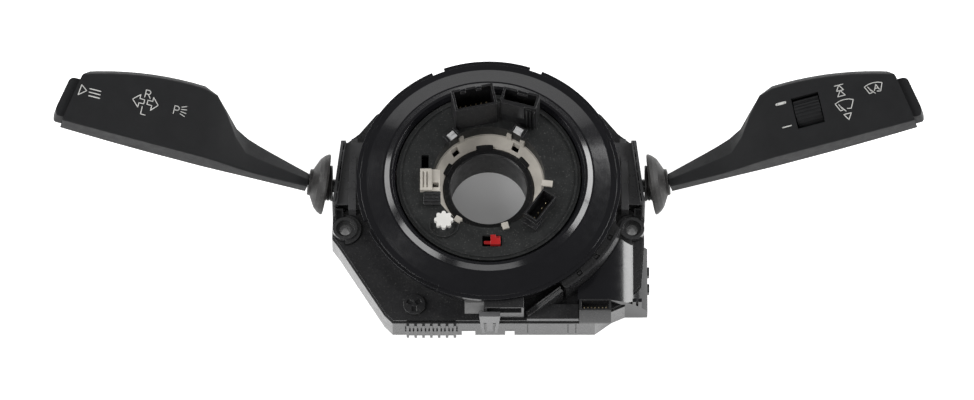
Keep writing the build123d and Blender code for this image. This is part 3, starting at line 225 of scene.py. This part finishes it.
def paint_pocket_shade(material):
    """Paint shade onto the floors of the ladder's pockets: a painted near-black shade, not the plastic's
    own colour.
    """
    tree = material.node_tree
    shader = tree.nodes["Principled BSDF"]
    under = shader.inputs["Base Color"].links[0].from_socket
    coordinates = tree.nodes.new("ShaderNodeTexCoord")
    axes = tree.nodes.new("ShaderNodeSeparateXYZ")
    link(tree, coordinates, "Object", axes, "Vector")
    reach = calculate(tree, "ABSOLUTE", axes.outputs["X"])
    outside = calculate(tree, "GREATER_THAN", reach, POCKET_SHADE_START)
    below = calculate(tree, "LESS_THAN", axes.outputs["Z"], POCKET_SHADE_TOP)
    mask = calculate(tree, "MULTIPLY", outside, below)
    painted = paint_over(tree, under, mask, POCKET_SHADE_COLOUR)
    link(tree, painted, "Color", shader, "Base Color")


def make_materials():
    """A material for each finish."""
    made = {slot: surface(**finish) for slot, finish in FINISHES.items()}
    # The rail's ladder pockets get a painted shade on their floors.
    paint_pocket_shade(made["rail"])
    return made


# ------------------------------------------------------------ CAD finish
OWN_FINISH = {
    "latch_clip": "smoked",
    "white_connector": "ivory_plastic",
    "left_switch_case": "rail",
    "right_switch_case": "rail",
    "contact_clips": "tinned",
}
WELD_DISTANCE = 0.000004
FLAT_ANGLE = math.radians(0.6)
EDGE_ROUND = 0.00022
SHARP_ANGLE = math.radians(32)
TURNED_ANGLE = math.radians(9)
TURNED_NODES = ("cassette_cover", "left_stalk_boot", "right_stalk_boot")


def soften(piece, width, angle):
    """Smooth a mesh and round those of its edges that are sharper than an angle."""
    mesh = piece.data
    mesh.polygons.foreach_set("use_smooth", [True] * len(mesh.polygons))
    bevel = piece.modifiers.new("edges", "BEVEL")
    bevel.width = width
    bevel.segments = 2
    bevel.limit_method = "ANGLE"
    bevel.angle_limit = angle
    bevel.harden_normals = True


def finish_node(name, material):
    """Give a CAD node its material, soft edges and smooth shading."""
    node = nodes[name]
    mesh = node.data
    mesh.materials.clear()
    mesh.materials.append(material)
    if "custom_normal" in mesh.attributes:
        mesh.attributes.remove(mesh.attributes["custom_normal"])
    weld = node.modifiers.new("weld", "WELD")
    weld.merge_threshold = WELD_DISTANCE
    flat = node.modifiers.new("flat", "DECIMATE")
    flat.decimate_type = "DISSOLVE"
    flat.angle_limit = FLAT_ANGLE
    soften(node, EDGE_ROUND, TURNED_ANGLE if name in TURNED_NODES else SHARP_ANGLE)


# --------------------------------------------------------------- symbols
# Lines and filled shapes on the levers' faces, as (s, w) points in millimetres.
INK_LIFT = 0.05
INK_WIDTH = 0.42
INK_STEP = 0.8
DOT_CORNERS = 12
PRINT_START = 30
LIGHT_SIGNS = {
    "pointer": [[(140.3, 13.6), (140.9, 7.9), (137.3, 11.1), (140.3, 13.6)]],
    "list": [[(136.0, 12.6), (130.6, 12.6)], [(135.9, 10.7), (130.5, 10.7)], [(135.8, 8.8), (130.4, 8.8)]],
    "arrow_out": [[
        (114.7, 12.9), (111.3, 16.3), (111.3, 14.1), (108.9, 14.1), (108.9, 11.8), (111.3, 11.8),
        (111.4, 9.4), (114.7, 12.9)]],
    "arrow_in": [[
        (101.9, 13.0), (104.9, 16.5), (104.9, 14.3), (107.3, 14.3), (107.3, 12.0), (104.9, 12.0),
        (105.0, 9.4), (101.9, 13.0)]],
    "right": [
        [(109.2, 15.5), (109.2, 19.5), (107.5, 19.5), (106.8, 18.9), (106.8, 18.0), (107.5, 17.4),
         (109.2, 17.4)],
        [(107.8, 17.4), (106.5, 15.5)]],
    "left": [[(109.3, 10.3), (109.3, 6.2), (107.0, 6.2)]],
    "parking": [
        [(93.9, 10.9), (93.9, 15.2), (92.3, 15.2), (91.6, 14.6), (91.6, 13.6), (92.3, 13.0), (93.9, 13.0)],
        [(90.6, 15.3), (88.2, 16.3)], [(90.5, 14.1), (87.9, 14.5)], [(90.5, 12.9), (87.9, 12.6)],
        [(90.6, 11.7), (88.3, 10.8)]],
}
WIPER_SIGNS = {
    "more": [[(82.0, 19.2), (86.0, 19.2)]],
    "less": [[(82.2, 6.4), (86.5, 6.4)]],
    "speeds": [
        [(111.3, 20.9), (115.5, 20.9)], [(113.4, 20.9), (111.7, 17.9), (115.2, 17.9), (113.4, 20.9)],
        [(113.5, 17.9), (111.7, 14.9), (115.4, 14.9), (113.5, 17.9)]],
    "screen": [
        [(109.6, 11.5), (111.8, 12.4), (114.2, 12.7), (116.6, 12.4), (118.7, 11.5), (116.8, 7.2),
         (114.9, 7.6)],
        [(109.6, 11.5), (111.4, 7.2), (112.9, 7.5)],
        [(111.2, 10.8), (112.4, 8.2)], [(111.9, 9.5), (114.0, 6.4)]],
    "single": [[(112.5, 4.9), (116.3, 4.9), (114.4, 1.6), (112.5, 4.9)]],
    "rain_screen": [
        [(125.3, 16.5), (127.5, 17.3), (129.8, 17.6), (132.1, 17.3), (134.2, 16.5), (132.6, 12.3),
         (130.9, 12.7)],
        [(125.3, 16.5), (127.1, 12.3), (128.6, 12.6)],
        [(126.9, 16.0), (128.2, 13.4)], [(127.6, 14.7), (129.8, 11.8)]],
    "auto": [[(129.7, 13.3), (131.0, 16.4), (132.2, 13.3)], [(130.2, 14.3), (131.8, 14.3)]],
}
BOLD_SIGNS = {"more": 1.35, "less": 0.6, "list": 0.55}


def stroke(points, width):
    """Thin quads and round dots that draw a line through points."""
    shapes = []
    for start, end in zip(points, points[1:]):
        a, b = Vector(start), Vector(end)
        run = b - a
        side = Vector((-run.y, run.x)).normalized() * width / 2
        count = max(1, math.ceil(run.length / INK_STEP))
        for step in range(count):
            low = a + run * step / count
            high = a + run * (step + 1) / count
            shapes.append([low - side, high - side, high + side, low + side])
    for point in points:
        turns = [2 * math.pi * corner / DOT_CORNERS for corner in range(DOT_CORNERS)]
        shapes.append([Vector(point) + Vector((math.cos(t), math.sin(t))) * width / 2 for t in turns])
    return shapes


def face_finder(node):
    """A search tree of a CAD node's surface."""
    mesh = nodes[node].data
    return BVHTree.FromPolygons([v.co for v in mesh.vertices], [p.vertices for p in mesh.polygons])


def print_signs(side, body, shell, signs, ink):
    """Print a lever's symbols onto its front shell."""
    finder = face_finder(shell)
    outward = lever_point(side, 0, 0, 1) - lever_point(side, 0, 0, 0)
    for sign, lines in signs.items():
        width = BOLD_SIGNS.get(sign, INK_WIDTH)
        vertices = []
        faces = []
        for line in lines:
            for shape in stroke(line, width):
                first = len(vertices)
                for corner in shape:
                    start = lever_point(side, corner.x, corner.y, PRINT_START)
                    hit = finder.ray_cast(start, -outward)[0]
                    vertices.append(hit + outward * INK_LIFT)
                faces.append(list(range(first, len(vertices))))
        mesh = bpy.data.meshes.new(sign)
        mesh.from_pydata(vertices, [], faces)
        mesh.materials.append(ink)
        piece = bpy.data.objects.new(shell.replace("front_shell", "sign_") + sign, mesh)
        bpy.context.scene.collection.objects.link(piece)
        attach(piece, body)


# Sizes below are in millimetres. A box is its reach, its sides and its heights, each from and to.
CLIP_ANGLES = (131.0, 58.0)
FRAME_BOXES = [
    (25.2, 29.9, -3.9, -2.5, 33.2, 38.0),
    (25.2, 29.9, 2.5, 3.9, 33.2, 38.0),
    (29.1, 29.9, -2.5, 2.5, 33.2, 37.2),
]
TONGUE_BOXES = [(27.4, 28.9, -2.1, 2.1, 37.0, 37.4), (25.4, 27.4, -2.1, 2.1, 36.7, 37.1)]
FRAME_ROUND = 0.25
TONGUE_ROUND = 0.12
BOX_FACES = ((0, 1, 2, 3), (4, 5, 6, 7), (0, 1, 5, 4), (1, 2, 6, 5), (2, 3, 7, 6), (3, 0, 4, 7))

# A profile's points are (height along the axis, radius).
RING_STEPS = 56
NECK_PROFILE = [
    (75.8, 6.9), (80.2, 6.9), (80.2, 7.9), (79.5, 8.6), (78.8, 7.9), (78.1, 8.6), (77.4, 7.9),
    (76.7, 8.7), (75.8, 8.7),
]
NECK_CENTRE = (0, 5.4, 15.0)
NECK_ROUND = 0.2
MARK_PROFILE = [(0.0, 3.7), (0.3, 3.75), (0.3, 4.25), (0.0, 4.3)]
MARK_PLACE = (-62.6, -29.0)
MARK_AXES = ((0, 0, 1), (1, 0, 0), (0, 1, 0))

# The seams stand on the front wall, which a ray from in front finds.
SEAM_WIDTH = 0.5
SEAM_PROUD = 0.04
SEAM_CENTRES = (18.9, 38.4, 42.2)
SEAM_LOW = 3.0
SEAM_HIGH = 12.6
ABOVE_DECK = 50
BEFORE_WALL = -100


def add_piece(name, geometry, material, body, edge=0.0):
    """A new mesh piece that rides on a body."""
    vertices, faces = geometry
    mesh = bpy.data.meshes.new(name)
    mesh.from_pydata([Vector(vertex) * MM for vertex in vertices], [], faces)
    shape = bmesh.new()
    shape.from_mesh(mesh)
    bmesh.ops.recalc_face_normals(shape, faces=shape.faces)
    shape.to_mesh(mesh)
    shape.free()
    mesh.materials.append(material)
    piece = bpy.data.objects.new(name, mesh)
    bpy.context.scene.collection.objects.link(piece)
    if edge:
        soften(piece, edge * MM, SHARP_ANGLE)
    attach(piece, body)


def radial_boxes(angle, boxes):
    """Boxes set along a radius that lies at an angle."""
    turn = math.radians(angle)
    vertices = []
    faces = []
    for r0, r1, t0, t1, z0, z1 in boxes:
        first = len(vertices)
        for z in (z0, z1):
            for r, t in ((r0, t0), (r1, t0), (r1, t1), (r0, t1)):
                x = r * math.cos(turn) - t * math.sin(turn)
                y = r * math.sin(turn) + t * math.cos(turn)
                vertices.append((x, y, z))
        faces += [[first + corner for corner in face] for face in BOX_FACES]
    return vertices, faces


def turned_ring(profile, centre, axes):
    """A ring turned about the first of three axes."""
    vertices = []
    faces = []
    count = len(profile)
    for step in range(RING_STEPS):
        angle = 2 * math.pi * step / RING_STEPS
        here = step * count
        after = (step + 1) % RING_STEPS * count
        for index, (height, radius) in enumerate(profile):
            shares = (height, radius * math.cos(angle), radius * math.sin(angle))
            vertices.append([
                start + sum(share * axis[way] for share, axis in zip(shares, axes))
                for way, start in enumerate(centre)])
            beside = (index + 1) % count
            faces.append((here + index, here + beside, after + beside, after + index))
    return vertices, faces


def make_lock_coil(material):
    """The spring under the lock button, as a rigid copy riding on the rotor, though the real spring
    shortens as the button goes down.
    """
    coil = bpy.data.objects.new("lock_coil", nodes["lock_spring"].data.copy())
    coil.data.materials.clear()
    coil.data.materials.append(material)
    bpy.context.scene.collection.objects.link(coil)
    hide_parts("lock_spring")
    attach(coil, "rotor")
    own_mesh(coil)


def make_clips(materials):
    """The plastic frame and the tinned tongue of each spring clip."""
    for index, angle in enumerate(CLIP_ANGLES):
        add_piece(
            "clip_frame_%d" % index, radial_boxes(angle, FRAME_BOXES), materials["socket_plastic"],
            "rotor", FRAME_ROUND)
        add_piece(
            "clip_tongue_%d" % index, radial_boxes(angle, TONGUE_BOXES), materials["tinned"],
            "rotor", TONGUE_ROUND)


def make_neck_rings(materials):
    """The ribbed ring round each switch case's neck, under the boot."""
    for side, name in ((-1, "left_neck_ring"), (1, "right_neck_ring")):
        axes = ((side, 0, 0), (0, 1, 0), (0, 0, 1))
        add_piece(
            name, turned_ring(NECK_PROFILE, NECK_CENTRE, axes), materials["boot_rubber"],
            "housing", NECK_ROUND)


def make_deck_mark(deck, material):
    """The low raised ring on the base's deck."""
    x, y = MARK_PLACE
    top = deck.ray_cast(Vector((x, y, ABOVE_DECK)) * MM, Vector((0, 0, -1)))[0].z / MM
    add_piece(
        "deck_mark", turned_ring(MARK_PROFILE, (x, y, top), MARK_AXES), material,
        "housing")


def make_wall_seams(wall, material):
    """The dark seams down the front wall."""
    vertices = []
    faces = []
    half = SEAM_WIDTH / 2
    for centre in SEAM_CENTRES:
        left, right = centre - half, centre + half
        faces.append([len(vertices) + corner for corner in range(4)])
        for x, z in ((left, SEAM_LOW), (right, SEAM_LOW), (right, SEAM_HIGH), (left, SEAM_HIGH)):
            hit = wall.ray_cast(Vector((x, BEFORE_WALL, z)) * MM, Vector((0, 1, 0)))[0]
            vertices.append((x, hit.y / MM - SEAM_PROUD, z))
    add_piece("wall_seams", (vertices, faces), material, "housing")


# ----------------------------------------------------------------- stage
# The floor glows less under the shaft bore: a painted shadow of the part, dimmed into the floor's glow.
FLOOR_Z = -0.0008
FLOOR_SIZE = 14.0
FLOOR_COLOUR = (0.8, 0.8, 0.8, 1)
FLOOR_ROUGHNESS = 0.9
FLOOR_GLOW = 0.93
BORE_SHADOW_GLOW = 0.12
SHADE_RADIUS = 0.03
SHADE_END = SHADE_RADIUS * 1.6
WORLD_STRENGTH = 0.12
CAMERA_TARGET = Vector((-0.0008, -0.0108, 0.030))
CAMERA_ELEVATION = math.radians(64.3)
CAMERA_DISTANCE = 5.9
CAMERA_LENS = 450.0
CAMERA_CLIP_END = 100
LIGHT_AIM = Vector((0, 0, 0.02))

# Each softbox has its place, its size across and up, and its watts.
LIGHTS = {
    "left": ((-1.15, -0.5, 0.9), (0.8, 0.8), 12),
    "right": ((1.35, 0.0, 0.7), (0.5, 0.5), 7),
    "right_back": ((1.25, 0.68, 0.6), (0.8, 0.5), 12),
    "left_back": ((-1.3, 0.5, 0.5), (0.8, 0.6), 8),
    "back": ((0.0, 1.5, 0.6), (2.0, 0.6), 4),
    "front": ((0.0, -1.3, 1.2), (1.2, 0.7), 6),
}


def seen_only(tree, strength):
    """A strength that only camera, glossy and transmission rays see."""
    path = tree.nodes.new("ShaderNodeLightPath").outputs
    direct = calculate(tree, "ADD", path["Is Camera Ray"], path["Is Glossy Ray"])
    every = calculate(tree, "ADD", direct, path["Is Transmission Ray"], clamp=True)
    return calculate(tree, "MULTIPLY", strength, every)


def make_floor():
    """The pale floor, with a painted shadow under the shaft bore."""
    mesh = bpy.data.meshes.new("floor")
    half = FLOOR_SIZE / 2
    corners = ((-half, -half), (half, -half), (half, half), (-half, half))
    mesh.from_pydata([(x, y, FLOOR_Z) for x, y in corners], [], [(0, 1, 2, 3)])
    floor = bpy.data.objects.new("floor", mesh)
    bpy.context.scene.collection.objects.link(floor)
    material = bpy.data.materials.new("floor")
    material.use_nodes = True
    tree = material.node_tree
    shader = tree.nodes["Principled BSDF"]
    shader.inputs["Base Color"].default_value = FLOOR_COLOUR
    shader.inputs["Roughness"].default_value = FLOOR_ROUGHNESS
    shader.inputs["Emission Color"].default_value = (1, 1, 1, 1)
    coordinates = tree.nodes.new("ShaderNodeTexCoord")
    distance = tree.nodes.new("ShaderNodeVectorMath")
    distance.operation = "LENGTH"
    link(tree, coordinates, "Object", distance, 0)
    # The glow falls to the painted shadow's level within the shade radius of the bore.
    glow = tree.nodes.new("ShaderNodeMapRange")
    glow.inputs["From Min"].default_value = SHADE_RADIUS
    glow.inputs["From Max"].default_value = SHADE_END
    glow.inputs["To Min"].default_value = BORE_SHADOW_GLOW
    glow.inputs["To Max"].default_value = FLOOR_GLOW
    link(tree, distance, "Value", glow, "Value")
    tree.links.new(seen_only(tree, glow.outputs["Result"]), shader.inputs["Emission Strength"])
    mesh.materials.append(material)


def make_lights():
    """Softboxes round the part, each where it makes one of the part's highlights."""
    for name, (place, size, power) in LIGHTS.items():
        data = bpy.data.lights.new(name, "AREA")
        data.shape = "RECTANGLE"
        data.size, data.size_y = size
        data.energy = power
        light = bpy.data.objects.new(name, data)
        bpy.context.scene.collection.objects.link(light)
        light.location = place
        light.rotation_mode = "QUATERNION"
        light.rotation_quaternion = (LIGHT_AIM - Vector(place)).to_track_quat("-Z", "Y")


def make_camera():
    """The camera at the photograph's viewing angle."""
    data = bpy.data.cameras.new("camera")
    data.lens = CAMERA_LENS
    data.clip_end = CAMERA_CLIP_END
    camera = bpy.data.objects.new("camera", data)
    bpy.context.scene.collection.objects.link(camera)
    back = Vector((0, -math.cos(CAMERA_ELEVATION), math.sin(CAMERA_ELEVATION)))
    camera.location = CAMERA_TARGET + back * CAMERA_DISTANCE
    camera.rotation_mode = "QUATERNION"
    camera.rotation_quaternion = (-back).to_track_quat("-Z", "Y")
    bpy.context.scene.camera = camera


def make_world():
    """A dim neutral surround."""
    world = bpy.data.worlds.new("world")
    world.use_nodes = True
    background = world.node_tree.nodes["Background"]
    background.inputs["Color"].default_value = (1, 1, 1, 1)
    background.inputs["Strength"].default_value = WORLD_STRENGTH
    bpy.context.scene.world = world


# ----------------------------------------------------------------- build
materials = make_materials()
slots = {part["node"]: part["material_slot"] for part in frame["record"]["subparts"]}
slots.update(OWN_FINISH)
for name in nodes:
    finish_node(name, materials[slots[name]])

ink = surface(**INK)
print_signs(-1, "left_stalk", "left_front_shell", LIGHT_SIGNS, ink)
print_signs(1, "right_stalk", "right_front_shell", WIPER_SIGNS, ink)

base = face_finder("base_housing")
make_clips(materials)
make_neck_rings(materials)
make_deck_mark(base, materials["housing_plastic"])
make_wall_seams(base, materials["chip_black"])
make_lock_coil(materials["spring_steel"])
make_floor()
make_lights()
make_world()
make_camera()
bpy.context.scene.view_settings.view_transform = "Standard"
